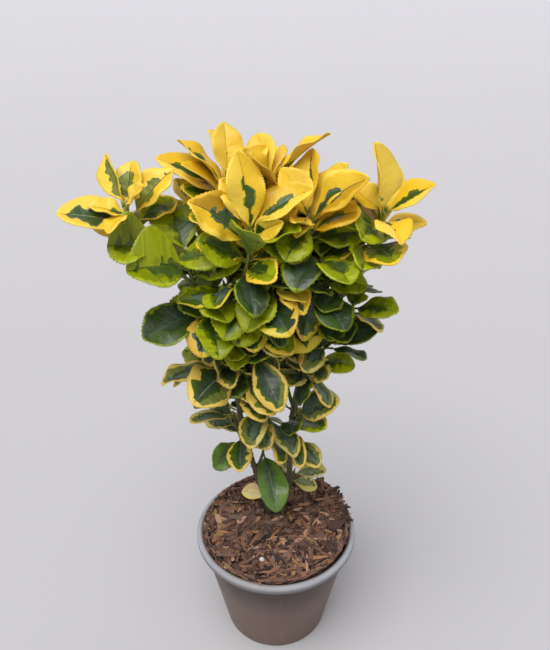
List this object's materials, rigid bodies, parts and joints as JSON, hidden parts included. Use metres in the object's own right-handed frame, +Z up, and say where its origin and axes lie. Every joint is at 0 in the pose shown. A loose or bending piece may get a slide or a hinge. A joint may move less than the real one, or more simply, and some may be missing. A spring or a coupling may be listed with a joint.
{
  "type": "potted golden japanese spindle shrub",
  "caption": "Small evergreen shrub with yellow and green variegated leaves on slim upright stems, in a round tapered nursery pot filled with bark.",
  "frame": {"origin": "centre of the flat underside of the pot, on the surface it stands on", "axes": "+Z straight up along the pot's axis and the height of the shrub; the side seen in the picture faces -Y, with +X to the right"},
  "size_m": [0.2086, 0.1336, 0.3744],
  "materials": {
    "pot": "satin grey moulded plastic",
    "bark": "rough shredded bark",
    "stem": "matt young bark",
    "leaf_gold": "glossy leathery leaf, yellow with green blotches",
    "leaf_green": "glossy leathery leaf, green with yellow margins"
  },
  "bodies": {
    "root": {"pot": "pot", "potting_bark": "bark", "stem_left": "stem", "stem_right": "stem", "bough_front": "stem", "bough_back_left": "stem", "bough_left": "stem", "bough_far_left": "stem", "bough_back_right": "stem", "bough_centre_right": "stem", "bough_right": "stem", "bough_right_side": "stem", "foliage_crown_front": "leaf_gold", "foliage_crown_back_left": "leaf_gold", "foliage_crown_back_right": "leaf_gold", "foliage_crown_right": "leaf_gold", "foliage_tuft_right": "leaf_gold", "foliage_tuft_far_left": "leaf_gold", "foliage_spray_left": "leaf_green", "foliage_spray_left_mid": "leaf_green", "foliage_spray_left_inner": "leaf_green", "foliage_spray_left_low": "leaf_green", "foliage_spray_centre_low": "leaf_green", "foliage_spray_centre_mid": "leaf_green", "foliage_spray_centre_right": "leaf_green", "foliage_spray_centre": "leaf_green", "foliage_spray_right_top": "leaf_green", "foliage_spray_right_mid": "leaf_green", "foliage_spray_right": "leaf_green", "foliage_spray_right_low": "leaf_green", "foliage_foot_left": "leaf_green", "foliage_foot_centre": "leaf_green", "foliage_foot_front": "leaf_green", "foliage_foot_middle": "leaf_green", "foliage_foot_right": "leaf_green", "foliage_foot_back": "leaf_green", "foliage_back_left": "leaf_gold", "foliage_back_centre": "leaf_gold", "foliage_back_right": "leaf_gold", "foliage_back_mid_left": "leaf_green", "foliage_back_mid_centre": "leaf_green", "foliage_back_mid_right": "leaf_green", "foliage_back_low_left": "leaf_green", "foliage_back_low_right": "leaf_green"}
  },
  "joints": []
}
